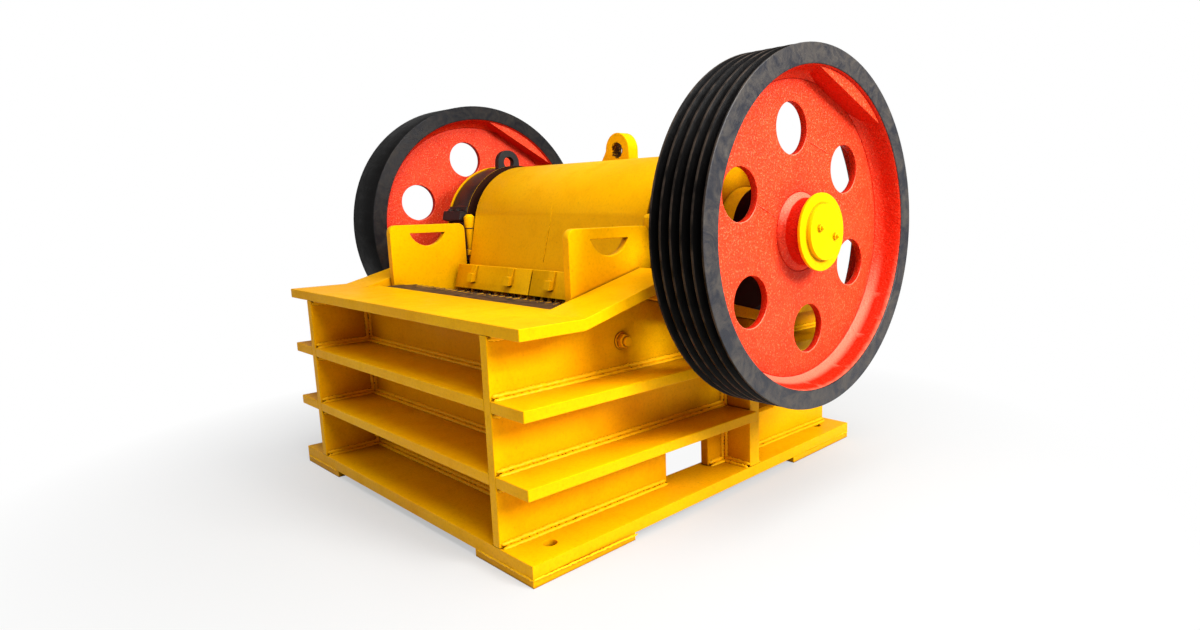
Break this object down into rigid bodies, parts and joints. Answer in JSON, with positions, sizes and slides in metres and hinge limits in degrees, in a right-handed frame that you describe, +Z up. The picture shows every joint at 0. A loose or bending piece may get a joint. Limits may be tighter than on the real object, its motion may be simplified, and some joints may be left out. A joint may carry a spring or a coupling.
{
  "type": "jaw crusher",
  "caption": "Jaw crusher with a welded plate frame, toothed fixed and moving jaws, an eccentric shaft in split bearing housings, a grooved belt flywheel and a plain balance flywheel.",
  "frame": {"origin": "centre of the footprint, on the floor under the foot pads", "axes": "X along the shaft towards the grooved flywheel, Y from the feed end to the rear, Z up"},
  "size_m": [2.008, 1.55, 1.3795],
  "materials": {
    "yellow_gloss_paint": "sprayed gloss enamel on welded plate",
    "black_paint": "brushed black paint on castings",
    "manganese_steel": "cast wear steel, thinly painted, rust streaked",
    "red_primer_paint": "red paint on rough castings, machined rim dark",
    "machined_steel": "turned and blackened"
  },
  "bodies": {
    "frame": {"base_flange": "yellow_gloss_paint", "foot_pads_front": "yellow_gloss_paint", "foot_pads_rear": "yellow_gloss_paint", "side_plate_left": "yellow_gloss_paint", "side_plate_right": "yellow_gloss_paint", "front_wall": "yellow_gloss_paint", "rear_wall": "yellow_gloss_paint", "front_ribs": "yellow_gloss_paint", "side_ribs": "yellow_gloss_paint", "top_flange": "yellow_gloss_paint", "rear_flange": "yellow_gloss_paint", "bearing_seats": "yellow_gloss_paint", "stiffeners": "yellow_gloss_paint", "bearing_covers": "yellow_gloss_paint", "clamp_bolts": "yellow_gloss_paint", "toggle_beam": "yellow_gloss_paint", "cheek_plate_left": "yellow_gloss_paint", "cheek_plate_right": "yellow_gloss_paint", "bearing_housing_left": "black_paint", "bearing_housing_right": "black_paint", "bearing_cap_left": "black_paint", "bearing_cap_right": "black_paint", "cap_eyes": "black_paint", "toggle_plate": "black_paint", "fixed_jaw_plate": "manganese_steel", "cheek_bolts": "machined_steel"},
    "rotor": {"eccentric_shaft": "machined_steel", "flywheel_rim_right": "red_primer_paint", "flywheel_rim_left": "red_primer_paint", "flywheel_web_left": "red_primer_paint", "flywheel_web_right": "red_primer_paint", "flywheel_hubs": "red_primer_paint", "balance_weights_right": "red_primer_paint", "balance_weights_left": "red_primer_paint", "hub_caps": "yellow_gloss_paint"},
    "jaw": {"moving_jaw": "yellow_gloss_paint", "moving_jaw_plate": "manganese_steel", "jaw_wedge": "yellow_gloss_paint", "jaw_flap": "yellow_gloss_paint", "jaw_guard": "yellow_gloss_paint", "lifting_lug": "yellow_gloss_paint"}
  },
  "joints": [
    {"name": "shaft_turn", "type": "hinge", "parent": "frame", "child": "rotor", "pos_m": [0, 0.109, 0.8545], "axis": [1, 0, 0], "continuous": true},
    {"name": "jaw_throw", "type": "hinge", "parent": "rotor", "child": "jaw", "pos_m": [0, 0.10787, 0.84255], "axis": [1, 0, 0], "continuous": true}
  ],
  "couplings": [
    {"joint": "jaw_throw", "follows": "shaft_turn", "ratio": -1}
  ]
}
